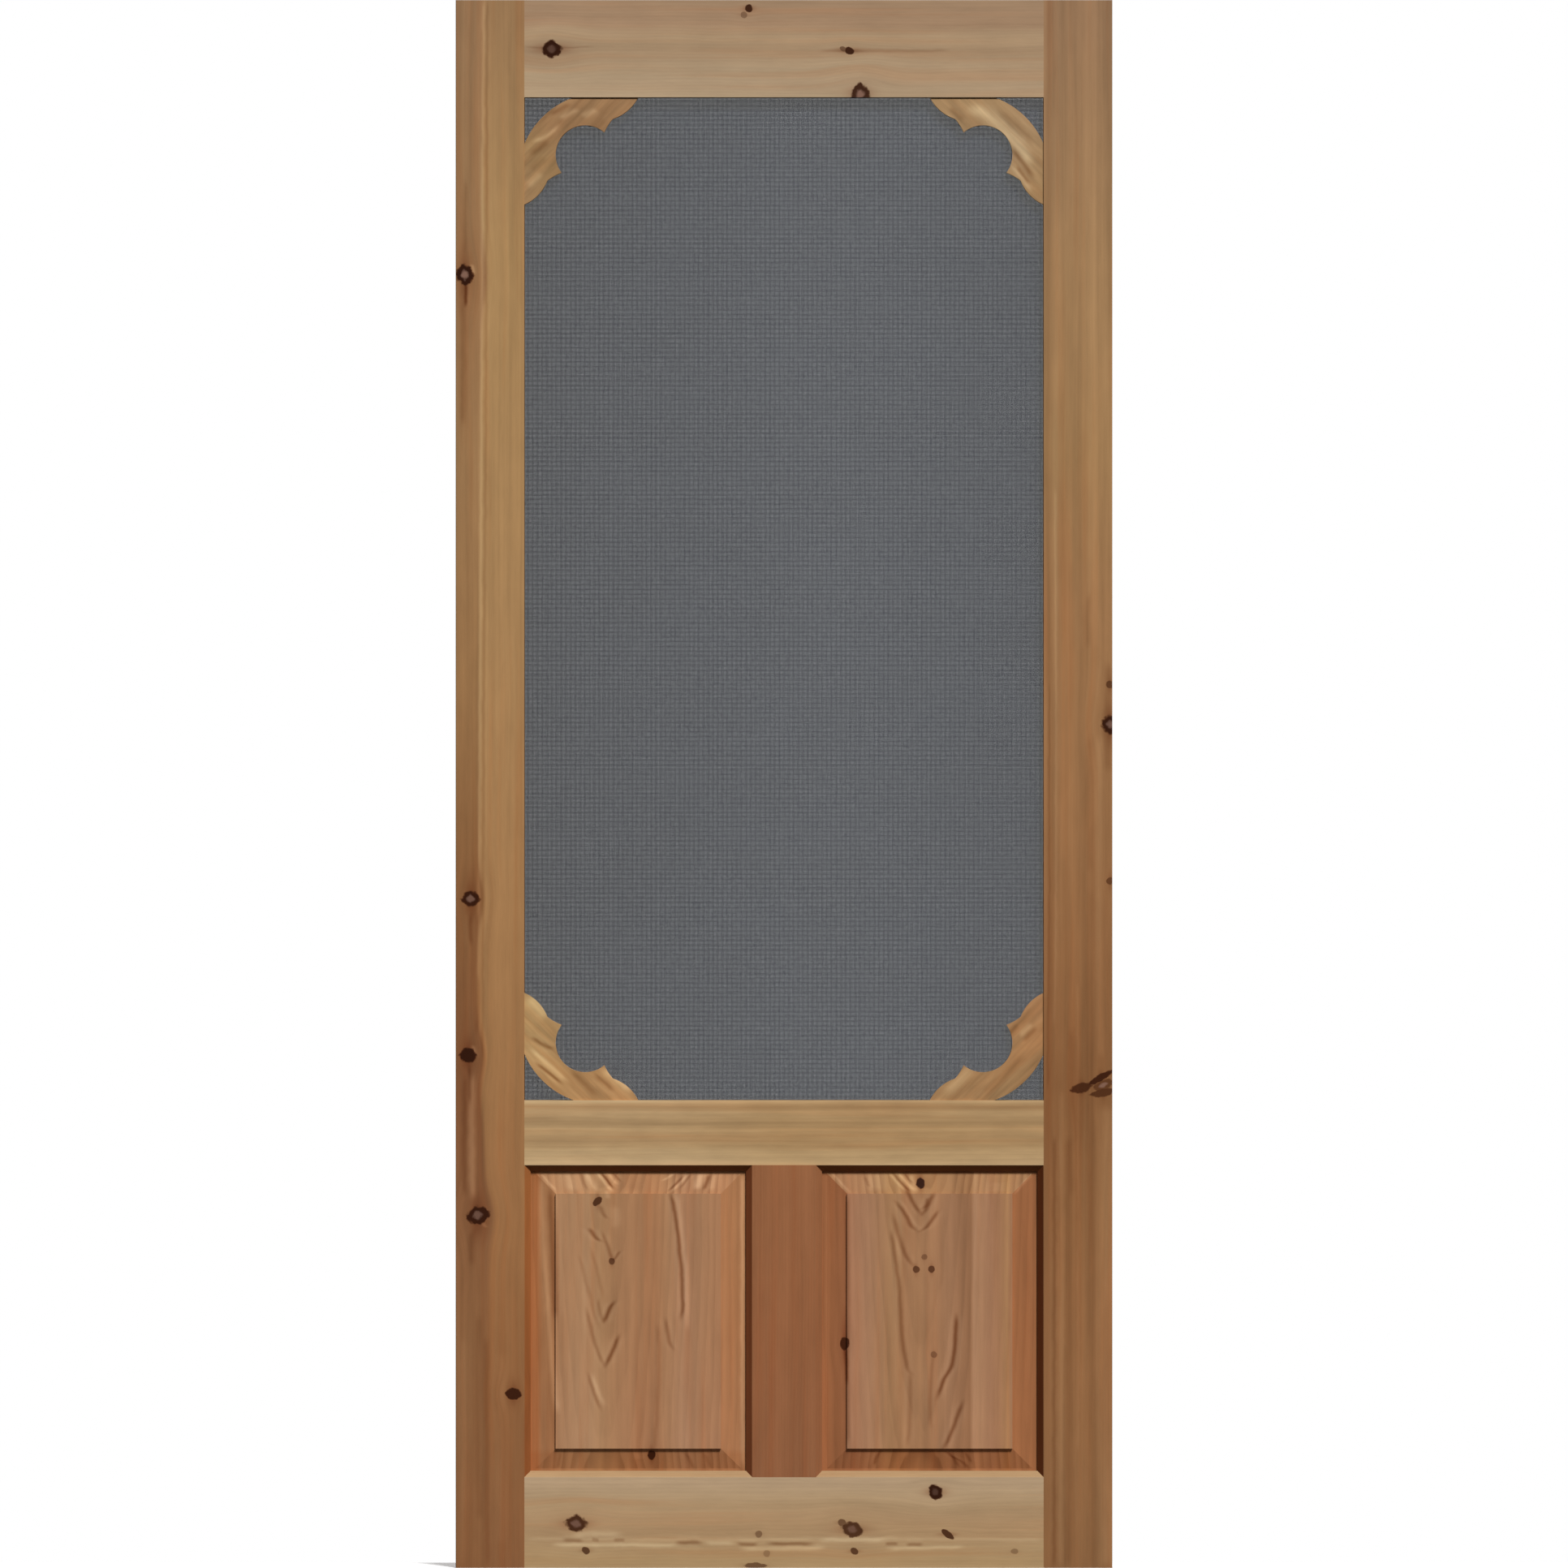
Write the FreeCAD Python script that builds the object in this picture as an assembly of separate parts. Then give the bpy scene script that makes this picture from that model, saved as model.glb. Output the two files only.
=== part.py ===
# Wooden screen door: a mortised frame with a screened opening above and two raised panels below.
#
# The front of the door faces -Y and +Z is up. The origin is on the hinge edge, at the bottom of the
# door and at the middle of its thickness, so the door runs from x = 0 to x = DOOR_WIDTH.
# All sizes are in millimetres.

import FreeCAD
import Part
import os

from FreeCAD import Vector

# Overall size
DOOR_WIDTH = 851.0
DOOR_HEIGHT = 2032.0
DOOR_THICKNESS = 28.6

# Frame members by the width of their faces, and the height of the opening for the panels
STILE_WIDTH = 89.0
TOP_RAIL_WIDTH = 126.0
LOCK_RAIL_WIDTH = 84.0
BOTTOM_RAIL_WIDTH = 117.5
MUNTIN_WIDTH = 82.5
PANEL_OPENING_HEIGHT = 404.5

# Edges: the chamfered sticking inside the panel openings, and the sanded outer edges of the stiles
STICKING = 8.0
STILE_ARRIS = 1.5

# Mortise and tenon joints
TENON_THICKNESS = 9.5
RAIL_TENON_LENGTH = 57.0
RAIL_TENON_SHOULDER = 19.0
MUNTIN_TENON_LENGTH = 25.0
MUNTIN_TENON_SHOULDER = 16.0
MORTISE_SIDE_CLEARANCE = 0.15
MORTISE_END_CLEARANCE = 1.5

# Grooves that hold the panels
GROOVE_WIDTH = 6.4
GROOVE_DEPTH = 10.0
TONGUE_CLEARANCE = 0.2

# Raised panels: how far the tongue enters the side and top grooves, the flat margin that shows
# between the sticking and the bevel, and the bevel, step and setback of the field
PANEL_SIDE_ENTRY = 6.0
PANEL_TOP_ENTRY = 8.0
PANEL_SIDE_MARGIN = 6.5
PANEL_END_MARGIN = 3.0
PANEL_BEVEL_WIDTH = 26.0
PANEL_STEP = 3.6
FIELD_SETBACK = 1.9

# Insect screen in its rabbet, held by mitred beads at the back
RABBET_WIDTH = 12.7
BEAD_THICKNESS = 12.7
BEAD_ROUND = 7.0
SCREEN_THICKNESS = 0.8
SCREEN_MARGIN = 1.0

# Corner brackets, measured from the corner of the screen opening along the rail and the stile.
# Points are (distance from the stile, distance from the rail) on the stile's half of a bracket.
# The rail's half mirrors it, and the whole is then stretched to its reach along the rail.
BRACKET_THICKNESS = 12.7
BRACKET_STILE_REACH = 139.0
BRACKET_RAIL_REACH = 147.5
BRACKET_HEEL = 60.5
BRACKET_BACK_DIAGONAL = 23.8
BRACKET_INNER_DIAGONAL = 48.1
BRACKET_CUSP = (45.4, 97.6)
BRACKET_SHOULDER = (28.0, 108.0)
BRACKET_NOSE_HOLLOW = 0.8
BRACKET_TIP_BULGE = 4.2

# Places that follow from the sizes
FRONT = -DOOR_THICKNESS / 2
BACK = DOOR_THICKNESS / 2
LEFT_EDGE = STILE_WIDTH
RIGHT_EDGE = DOOR_WIDTH - STILE_WIDTH
MUNTIN_LEFT = (DOOR_WIDTH - MUNTIN_WIDTH) / 2
MUNTIN_RIGHT = MUNTIN_LEFT + MUNTIN_WIDTH
PANEL_BOTTOM = BOTTOM_RAIL_WIDTH
PANEL_TOP = PANEL_BOTTOM + PANEL_OPENING_HEIGHT
SCREEN_BOTTOM = PANEL_TOP + LOCK_RAIL_WIDTH
SCREEN_TOP = DOOR_HEIGHT - TOP_RAIL_WIDTH
TONGUE_THICKNESS = GROOVE_WIDTH - 2 * TONGUE_CLEARANCE
SCREEN_BACK = BACK - BEAD_THICKNESS
SCREEN_FRONT = SCREEN_BACK - SCREEN_THICKNESS

# Openings in the plane of the door, as (left, bottom, right, top) between the members' faces
SCREEN_OPENING = (LEFT_EDGE, SCREEN_BOTTOM, RIGHT_EDGE, SCREEN_TOP)
LEFT_PANEL_OPENING = (LEFT_EDGE, PANEL_BOTTOM, MUNTIN_LEFT, PANEL_TOP)
RIGHT_PANEL_OPENING = (MUNTIN_RIGHT, PANEL_BOTTOM, RIGHT_EDGE, PANEL_TOP)

# The bottom and top of each rail
RAILS = {
    "bottom_rail": (0.0, PANEL_BOTTOM),
    "lock_rail": (PANEL_TOP, SCREEN_BOTTOM),
    "top_rail": (SCREEN_TOP, DOOR_HEIGHT),
}


def grown(rectangle, across, along=None):
    """The rectangle with its sides moved out by across, and its bottom and top by along."""
    left, bottom, right, top = rectangle
    along = across if along is None else along
    return (left - across, bottom - along, right + across, top + along)


def slab(rectangle, y_from, y_to):
    """A board over the rectangle, from one depth to another."""
    left, bottom, right, top = rectangle
    return Part.makeBox(right - left, y_to - y_from, top - bottom, Vector(left, y_from, bottom))


def rectangle_wire(rectangle, y):
    """The rectangle's outline at one depth."""
    left, bottom, right, top = rectangle
    corners = [(left, bottom), (right, bottom), (right, top), (left, top), (left, bottom)]
    return Part.makePolygon([Vector(x, y, z) for x, z in corners])


def tapered_slab(rectangle, y_from, inner, y_to):
    """A board whose sides slope from one rectangle to another, with mitred corners."""
    return Part.makeLoft([rectangle_wire(rectangle, y_from), rectangle_wire(inner, y_to)], True, True)


def mitred_strip(start, end, inward, width, thickness):
    """A strip along one side of an opening, with its ends mitred to meet its neighbours."""
    along = (end - start).normalize()
    outline = [start, start + (along + inward) * width, end + (inward - along) * width, end]
    return Part.Face(Part.makePolygon(outline + [start])).extrude(Vector(0, thickness, 0))


def sides(rectangle, y):
    """The start, end and inward direction of each side of a rectangle at one depth."""
    left, bottom, right, top = rectangle
    bottom_left = Vector(left, y, bottom)
    bottom_right = Vector(right, y, bottom)
    top_left = Vector(left, y, top)
    top_right = Vector(right, y, top)
    return {
        "left": (bottom_left, top_left, Vector(1, 0, 0)),
        "right": (bottom_right, top_right, Vector(-1, 0, 0)),
        "bottom": (bottom_left, bottom_right, Vector(0, 0, 1)),
        "top": (top_left, top_right, Vector(0, 0, -1)),
    }


def sight(opening):
    """What stays open inside the sticking of a panel opening."""
    return grown(opening, -STICKING)


def sticking(opening, side):
    """The sticking on one side of a panel opening, chamfered on both faces."""
    strip = mitred_strip(*sides(opening, FRONT)[side], STICKING, DOOR_THICKNESS)
    front_chamfer = tapered_slab(opening, FRONT, sight(opening), FRONT + STICKING)
    back_chamfer = tapered_slab(opening, BACK, sight(opening), BACK - STICKING)
    return strip.cut([front_chamfer, back_chamfer])


def panel_groove(opening):
    """The groove round a panel, in the middle of the thickness."""
    return slab(grown(sight(opening), GROOVE_DEPTH), -GROOVE_WIDTH / 2, GROOVE_WIDTH / 2)


def screen_rabbet():
    """The rabbet at the back of the screen opening, deep enough for the screen and its beads."""
    return slab(grown(SCREEN_OPENING, RABBET_WIDTH), SCREEN_FRONT, BACK)


def rail_tenons(bottom, top, clearance=0.0, end_clearance=0.0):
    """The bar that a rail's two tenons are the ends of, or with clearances the mortises for them."""
    reach = RAIL_TENON_LENGTH + end_clearance
    height = clearance - RAIL_TENON_SHOULDER
    half = TENON_THICKNESS / 2 + clearance
    return slab(grown((LEFT_EDGE, bottom, RIGHT_EDGE, top), reach, height), -half, half)


def muntin_tenons(clearance=0.0, end_clearance=0.0):
    """The same for the muntin."""
    reach = MUNTIN_TENON_LENGTH + end_clearance
    width = clearance - MUNTIN_TENON_SHOULDER
    half = TENON_THICKNESS / 2 + clearance
    return slab(grown((MUNTIN_LEFT, PANEL_BOTTOM, MUNTIN_RIGHT, PANEL_TOP), width, reach), -half, half)


def stile(outer, inner, panel_sticking, groove):
    """A stile from its outer edge to its inner edge, mortised for the rails."""
    board = slab((min(outer, inner), 0.0, max(outer, inner), DOOR_HEIGHT), FRONT, BACK)
    long_edges = [edge for edge in board.Edges if edge.Length > DOOR_HEIGHT / 2]
    outer_edges = [edge for edge in long_edges if abs(edge.CenterOfMass.x - outer) < STILE_WIDTH / 2]
    mortises = [
        rail_tenons(bottom, top, MORTISE_SIDE_CLEARANCE, MORTISE_END_CLEARANCE)
        for bottom, top in RAILS.values()
    ]
    board = board.makeFillet(STILE_ARRIS, outer_edges).fuse(panel_sticking).removeSplitter()
    return board.cut([groove, screen_rabbet()] + mortises)


def rail(bottom, top, panel_sticking):
    """A rail with its tenons, between the stiles."""
    board = slab((LEFT_EDGE, bottom, RIGHT_EDGE, top), FRONT, BACK)
    board = board.fuse([rail_tenons(bottom, top)] + panel_sticking).removeSplitter()
    grooves = [panel_groove(LEFT_PANEL_OPENING), panel_groove(RIGHT_PANEL_OPENING)]
    muntin_mortises = muntin_tenons(MORTISE_SIDE_CLEARANCE, MORTISE_END_CLEARANCE)
    return board.cut(grooves + [screen_rabbet(), muntin_mortises])


def muntin(panel_sticking):
    """The upright between the panels, tenoned into the rails above and below."""
    board = slab((MUNTIN_LEFT, PANEL_BOTTOM, MUNTIN_RIGHT, PANEL_TOP), FRONT, BACK)
    board = board.fuse([muntin_tenons()] + panel_sticking).removeSplitter()
    return board.cut([panel_groove(LEFT_PANEL_OPENING), panel_groove(RIGHT_PANEL_OPENING)])


def frame():
    """The stiles, rails and muntin by name, each with its own sides of the sticking."""
    left = {side: sticking(LEFT_PANEL_OPENING, side) for side in ("left", "right", "bottom", "top")}
    right = {side: sticking(RIGHT_PANEL_OPENING, side) for side in ("left", "right", "bottom", "top")}
    return {
        "left_stile": stile(0.0, LEFT_EDGE, left["left"], panel_groove(LEFT_PANEL_OPENING)),
        "right_stile": stile(DOOR_WIDTH, RIGHT_EDGE, right["right"], panel_groove(RIGHT_PANEL_OPENING)),
        "top_rail": rail(*RAILS["top_rail"], []),
        "lock_rail": rail(*RAILS["lock_rail"], [left["top"], right["top"]]),
        "bottom_rail": rail(*RAILS["bottom_rail"], [left["bottom"], right["bottom"]]),
        "muntin": muntin([left["right"], right["left"]]),
    }


def raised_panel(opening):
    """A panel with a tongue all round, and a bevelled and stepped field on each face."""
    left, bottom, right, top = sight(opening)
    tongue = (left - PANEL_SIDE_ENTRY, bottom - GROOVE_DEPTH, right + PANEL_SIDE_ENTRY, top + PANEL_TOP_ENTRY)
    foot = grown(sight(opening), -PANEL_SIDE_MARGIN, -PANEL_END_MARGIN)
    field = grown(foot, -PANEL_BEVEL_WIDTH)
    field_face = DOOR_THICKNESS / 2 - FIELD_SETBACK
    bevel_top = field_face - PANEL_STEP
    half_tongue = TONGUE_THICKNESS / 2
    bevels = [tapered_slab(foot, side * half_tongue, field, side * bevel_top) for side in (-1, 1)]
    pieces = bevels + [slab(field, -field_face, field_face)]
    return slab(tongue, -half_tongue, half_tongue).fuse(pieces).removeSplitter()


def insect_screen():
    """The sheet of mesh, cut a little smaller than its rabbet."""
    return slab(grown(SCREEN_OPENING, RABBET_WIDTH - SCREEN_MARGIN), SCREEN_FRONT, SCREEN_BACK)


def bead(start, end, inward):
    """A mitred strip that holds one side of the screen in its rabbet, rounded on its free edge."""
    strip = mitred_strip(start, end, inward, RABBET_WIDTH, BEAD_THICKNESS)
    free_edge_middle = (start + end) / 2 + inward * RABBET_WIDTH + Vector(0, BEAD_THICKNESS, 0)
    free_edge = min(strip.Edges, key=lambda edge: edge.CenterOfMass.distanceToPoint(free_edge_middle))
    return strip.makeFillet(BEAD_ROUND, [free_edge])


def bowed(start, end, rise):
    """Three points of an arc from start to end that rises to the left of the way there."""
    (u0, v0), (u1, v1) = start, end
    length = ((u1 - u0) ** 2 + (v1 - v0) ** 2) ** 0.5
    middle = ((u0 + u1) / 2 - rise * (v1 - v0) / length, (v0 + v1) / 2 + rise * (u1 - u0) / length)
    return [start, middle, end]


def mirrored(points):
    """The same run on the rail's half of a bracket, followed the other way."""
    return [(v, u) for u, v in reversed(points)]


def bracket_outline():
    """The runs of a bracket's edge, each a line of two points or an arc of three."""
    tip = (0.0, BRACKET_STILE_REACH)
    heel = (0.0, BRACKET_HEEL)
    nose = bowed(BRACKET_CUSP, BRACKET_SHOULDER, BRACKET_NOSE_HOLLOW)
    bulge = bowed(BRACKET_SHOULDER, tip, -BRACKET_TIP_BULGE)
    back = [heel, (BRACKET_BACK_DIAGONAL, BRACKET_BACK_DIAGONAL), heel[::-1]]
    scallop = [BRACKET_CUSP[::-1], (BRACKET_INNER_DIAGONAL, BRACKET_INNER_DIAGONAL), BRACKET_CUSP]
    seat = [tip, heel]
    return [seat, back, mirrored(seat), mirrored(bulge), mirrored(nose), scallop, nose, bulge]


def bracket(corner_x, corner_z, way_x, way_z):
    """A scroll-sawn bracket in one corner of the screen opening, lying on the screen."""
    stretch = BRACKET_RAIL_REACH / BRACKET_STILE_REACH
    edges = []
    for run in bracket_outline():
        points = [Vector(corner_x + way_x * stretch * u, SCREEN_FRONT, corner_z + way_z * v) for u, v in run]
        edges.append(Part.makeLine(*points) if len(points) == 2 else Part.Arc(*points).toShape())
    return Part.Face(Part.Wire(edges)).extrude(Vector(0, -BRACKET_THICKNESS, 0))


def parts():
    """Every node of the door by name."""
    made = frame()
    made["left_panel"] = raised_panel(LEFT_PANEL_OPENING)
    made["right_panel"] = raised_panel(RIGHT_PANEL_OPENING)
    made["insect_screen"] = insect_screen()
    for side, line in sides(grown(SCREEN_OPENING, RABBET_WIDTH), SCREEN_BACK).items():
        made[f"{side}_bead"] = bead(*line)
    for height, corner_z, way_z in (("top", SCREEN_TOP, -1), ("bottom", SCREEN_BOTTOM, 1)):
        for side, corner_x, way_x in (("left", LEFT_EDGE, 1), ("right", RIGHT_EDGE, -1)):
            made[f"{height}_{side}_bracket"] = bracket(corner_x, corner_z, way_x, way_z)
    return made


os.makedirs("parts", exist_ok=True)
for node, shape in parts().items():
    print(f"{node}: {len(shape.Solids)} solid, valid {shape.isValid()}, {shape.Volume / 1000:.1f} cm3")
    shape.exportStep(f"parts/{node}.step")
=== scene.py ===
"""Wooden screen door: the grain of its boards, the weave of its screen, and the stage.

Lengths in the lists of boards are in millimetres in the door's own frame: x across from the hinge
edge, z up from the bottom of the door. The front faces -Y.
"""

import math
import random

import bmesh
import bpy
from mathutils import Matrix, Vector


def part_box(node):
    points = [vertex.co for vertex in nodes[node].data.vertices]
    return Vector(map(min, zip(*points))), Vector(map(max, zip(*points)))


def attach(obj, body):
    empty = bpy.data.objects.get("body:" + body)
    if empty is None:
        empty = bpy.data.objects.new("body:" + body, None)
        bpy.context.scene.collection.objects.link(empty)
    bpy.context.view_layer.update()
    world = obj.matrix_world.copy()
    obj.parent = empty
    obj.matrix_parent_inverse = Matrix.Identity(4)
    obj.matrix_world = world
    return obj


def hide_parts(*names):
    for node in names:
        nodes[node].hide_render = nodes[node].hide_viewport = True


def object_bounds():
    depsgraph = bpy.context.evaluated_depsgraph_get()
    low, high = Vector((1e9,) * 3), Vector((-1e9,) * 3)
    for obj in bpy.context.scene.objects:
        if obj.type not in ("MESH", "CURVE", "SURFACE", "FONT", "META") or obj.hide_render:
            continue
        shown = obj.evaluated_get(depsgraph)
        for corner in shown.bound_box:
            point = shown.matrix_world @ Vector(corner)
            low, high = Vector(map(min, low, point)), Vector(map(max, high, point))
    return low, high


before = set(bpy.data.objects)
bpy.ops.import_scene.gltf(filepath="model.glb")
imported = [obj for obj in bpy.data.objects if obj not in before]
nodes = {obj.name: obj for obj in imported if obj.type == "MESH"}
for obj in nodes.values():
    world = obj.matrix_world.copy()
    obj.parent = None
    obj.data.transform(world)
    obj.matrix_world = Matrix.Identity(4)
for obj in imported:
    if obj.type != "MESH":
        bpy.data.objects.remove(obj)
cad_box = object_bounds()
random.seed(7)

MM = 0.001
FRONT = cad_box[0][1] / MM  # the depth of the front faces in mm, which is below 0


# Shader building blocks

MIX_FACTOR, MIX_FIRST, MIX_SECOND, MIX_RESULT = 0, 6, 7, 2  # a Mix node's sockets for colours


class Value:
    """A number or colour that varies over a surface: the output of a shader node."""

    def __init__(self, tree, socket):
        self.tree = tree
        self.socket = socket

    def math(self, operation, *others):
        node = self.tree.nodes.new("ShaderNodeMath")
        node.operation = operation
        for socket, item in zip(node.inputs, (self,) + others):
            feed(self.tree, item, socket)
        return Value(self.tree, node.outputs[0])

    def __add__(self, other):
        return self.math("ADD", other)

    def __sub__(self, other):
        return self.math("SUBTRACT", other)

    def __mul__(self, other):
        return self.math("MULTIPLY", other)

    def __pow__(self, other):
        return self.math("POWER", other)

    def absolute(self):
        return self.math("ABSOLUTE")

    def highest(self, other):
        return self.math("MAXIMUM", other)

    def at_most(self, limit):
        return self.math("MINIMUM", limit)

    def times_plus(self, factor, rest):
        return self.math("MULTIPLY_ADD", factor, rest)

    def fade(self):
        """1 at 0, and falling off as the value grows."""
        node = self.tree.nodes.new("ShaderNodeMath")
        node.operation = "POWER"
        node.inputs[0].default_value = math.exp(-1)
        feed(self.tree, self, node.inputs[1])
        return Value(self.tree, node.outputs[0])

    def span(self, low, high, interpolation="SMOOTHSTEP"):
        """0 at low, 1 at high, and a ramp between them. low may be the larger."""
        node = self.tree.nodes.new("ShaderNodeMapRange")
        node.interpolation_type = interpolation
        feed(self.tree, self, node.inputs["Value"])
        ends = (low, high, 0.0, 1.0) if low < high else (high, low, 1.0, 0.0)
        for name, number in zip(("From Min", "From Max", "To Min", "To Max"), ends):
            node.inputs[name].default_value = number
        return Value(self.tree, node.outputs["Result"])

    def curve(self, points):
        """A smooth curve through (in, out) points, which are in order of in."""
        margin = 1e-3
        first, last = points[0][0], points[-1][0]
        bottom = min(out for _, out in points) - margin
        top = max(out for _, out in points) + margin
        node = self.tree.nodes.new("ShaderNodeFloatCurve")
        feed(self.tree, self.span(first, last, "LINEAR"), node.inputs["Value"])
        knots = node.mapping.curves[0].points
        for _ in points[2:]:
            knots.new(0.5, 0.5)
        for knot, (place, out) in zip(knots, points):
            knot.location = ((place - first) / (last - first), (out - bottom) / (top - bottom))
            knot.handle_type = "AUTO_CLAMPED"
        node.mapping.update()
        return Value(self.tree, node.outputs["Value"]).times_plus(top - bottom, bottom)

    def ramp(self, stops):
        """Colours at places along the value, given as (place, colour)."""
        first, last = stops[0][0], stops[-1][0]
        node = self.tree.nodes.new("ShaderNodeValToRGB")
        feed(self.tree, self.span(first, last, "LINEAR"), node.inputs["Fac"])
        elements = node.color_ramp.elements
        for _ in stops[2:]:
            elements.new(0.5)
        for element, (place, colour) in zip(elements, stops):
            element.position = (place - first) / (last - first)
            element.color = colour
        return Value(self.tree, node.outputs["Color"])

    def mixed(self, other, amount, blend="MIX"):
        """This colour mixed with another one by an amount."""
        node = self.tree.nodes.new("ShaderNodeMix")
        node.data_type = "RGBA"
        node.blend_type = blend
        feed(self.tree, amount, node.inputs[MIX_FACTOR])
        feed(self.tree, self, node.inputs[MIX_FIRST])
        feed(self.tree, other, node.inputs[MIX_SECOND])
        return Value(self.tree, node.outputs[MIX_RESULT])

    def tinted(self, tint, amount):
        """This colour multiplied by a tint, as far as the amount says."""
        return self.mixed((*tint, 1.0), amount, "MULTIPLY")

    def scaled(self, amount):
        """This colour made lighter or darker."""
        node = self.tree.nodes.new("ShaderNodeVectorMath")
        node.operation = "SCALE"
        feed(self.tree, self, node.inputs[0])
        feed(self.tree, amount, node.inputs["Scale"])
        return Value(self.tree, node.outputs[0])


def feed(tree, item, socket):
    """Links a value to a socket, or sets a plain number or colour there."""
    if isinstance(item, Value):
        tree.links.new(item.socket, socket)
    else:
        socket.default_value = item


def noise(*axes, detail=2.0):
    """Smooth noise around 0. An axis is (coordinate, length of the noise along it, any shift)."""
    tree = axes[0][0].tree
    place = tree.nodes.new("ShaderNodeCombineXYZ")
    for (coordinate, size, *shift), socket in zip(axes, place.inputs):
        feed(tree, coordinate.times_plus(1 / size, sum(shift, 0.0)), socket)
    node = tree.nodes.new("ShaderNodeTexNoise")
    node.inputs["Scale"].default_value = 1.0
    node.inputs["Detail"].default_value = detail
    tree.links.new(place.outputs[0], node.inputs["Vector"])
    return Value(tree, node.outputs["Fac"]) - 0.5


def rgb(red, green, blue):
    """A colour as it shows on a screen, from 0 to 255, as a linear colour."""
    parts = [channel / 255 for channel in (red, green, blue)]
    linear = [p / 12.92 if p <= 0.04045 else ((p + 0.055) / 1.055) ** 2.4 for p in parts]
    return (*linear, 1.0)


def grey(level):
    return (level, level, level, 1.0)


def new_material(name):
    material = bpy.data.materials.new(name)
    material.use_nodes = True
    tree = material.node_tree
    return material, tree, tree.nodes["Principled BSDF"]


def split(tree, vector):
    """The x, y and z of a vector socket."""
    parts = tree.nodes.new("ShaderNodeSeparateXYZ")
    tree.links.new(vector, parts.inputs[0])
    return [Value(tree, socket) for socket in parts.outputs]


def place_in_mm(tree):
    node = tree.nodes.new("ShaderNodeTexCoord")
    return [part * (1 / MM) for part in split(tree, node.outputs["Object"])]


def bump(shader, height, distance_mm, strength):
    tree = height.tree
    node = tree.nodes.new("ShaderNodeBump")
    node.inputs["Distance"].default_value = distance_mm * MM
    node.inputs["Strength"].default_value = strength
    feed(tree, height, node.inputs["Height"])
    tree.links.new(node.outputs["Normal"], shader.inputs["Normal"])


# Wood

DARK_LINE = (0.5, 0.35, 0.26)
LIGHT_LINE = (1.5, 1.7, 1.9)
RED_TINT = (1.04, 0.8, 0.66)
KNOT_STAIN = (0.5, 0.27, 0.19)
KNOT_HEART = rgb(42, 16, 3)
KNOT_EYE = rgb(134, 100, 84)
KNOT_LEAN = 0.3  # how far a knot moves along the grain for each millimetre behind the front
KNOT_TAPER = 0.025  # how much its outline draws in on the way
KNOT_RAGGEDNESS = 1.1
KNOT_OUTLINE = (1.25, 0.75)  # where a knot begins and where it is darkest, with 1 at its half size
EYE_OUTLINE = (0.45, 0.1)
EYE_RAGGEDNESS = 0.5
LARGE_KNOT = 9.0  # a knot of a larger half size has slightly pointed ends
POINTED = 1.5  # the power that draws them
KNOT_PUSH = 0.7  # how far the grain gives way, as a share of its distance from the knot's axis
PUSH_ALONG, PUSH_ACROSS = 3.3, 2.4  # how far out it does, in half sizes of the knot
STAIN_ACROSS = 0.67
STAIN_STRENGTH = 0.75
LINE_WAVER = 3.0  # how far a drawn line strays from its points
LINE_END = 14.0  # the length over which a long line fades out
LINE_END_SHARE = 0.25  # and that of a short one, as a share of it
LINE_OVERSHOOT = 0.3  # how far past its last point a line is gone, as a share of that length
RIM_NARROWNESS = 0.2  # how narrow a dark line's rims are, against 1 for the line
RIM_STRENGTH = 0.45  # how light they are
RING_RIPPLE = 8.0  # how far growth rings stray from a circle
LATE_RISE, LATE_FALL = (0.2, 0.85), (1.0, 0.88)  # where in a ring its dark grows and ends
LATE_MEAN = 0.25  # about its mean over a ring
SEAM = 4.0  # half the width of the blend between a board's two zones
RAMP_ROOM = 2.0  # a colour ramp stops at 1, so tints are put in it divided by this
BEVEL_BEGINS, BEVEL_FULL = 10.8, 9.0  # a panel's bevels, as distances from its middle plane
UPRIGHT, SLOPED = 0.03, 0.12  # a normal's z is under these on upright bevels, and past on level
END_GRAIN = 0.35  # how dark the rings are on level bevels
FIBRE_WIDTH = 1 / 1.4
FIBRE_SHADE = 0.12
WOOD_ROUGHNESS = 0.62
WOOD_SPECULAR = 0.06


class Grain:
    """The coordinates of a board: along its grain, across it, and through its thickness, in mm.

    face is the coordinate across the board that the lists give: z on a level board, and else x.
    """

    def __init__(self, tree, angle):
        self.x, self.depth, self.z = place_in_mm(tree)
        self.cos = round(math.cos(math.radians(angle)), 6)
        self.sin = round(math.sin(math.radians(angle)), 6)
        self.level = angle == 0
        self.face = self.z if self.level else self.x
        if angle == 90:
            self.length, self.across = self.z, self.x * -1.0
        elif self.level:
            self.length, self.across = self.x, self.z
        else:
            self.length = self.x * self.cos + self.z * self.sin
            self.across = self.z * self.cos - self.x * self.sin

    def local(self, x, z):
        """The lengths along and across the grain at a point."""
        return x * self.cos + z * self.sin, z * self.cos - x * self.sin

    def across_at(self, face):
        return self.local(0, face)[1] if self.level else self.local(face, 0)[1]

    def path(self, points):
        """Points as (along, across), in order along the grain."""
        return sorted(self.local(*point) for point in points)


def oval(along, half_along, across, half_across):
    """1 in the middle of an oval, falling off smoothly around it."""
    u = along * (1 / half_along)
    v = across * (1 / half_across)
    return u.times_plus(u, v * v).fade()


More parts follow.
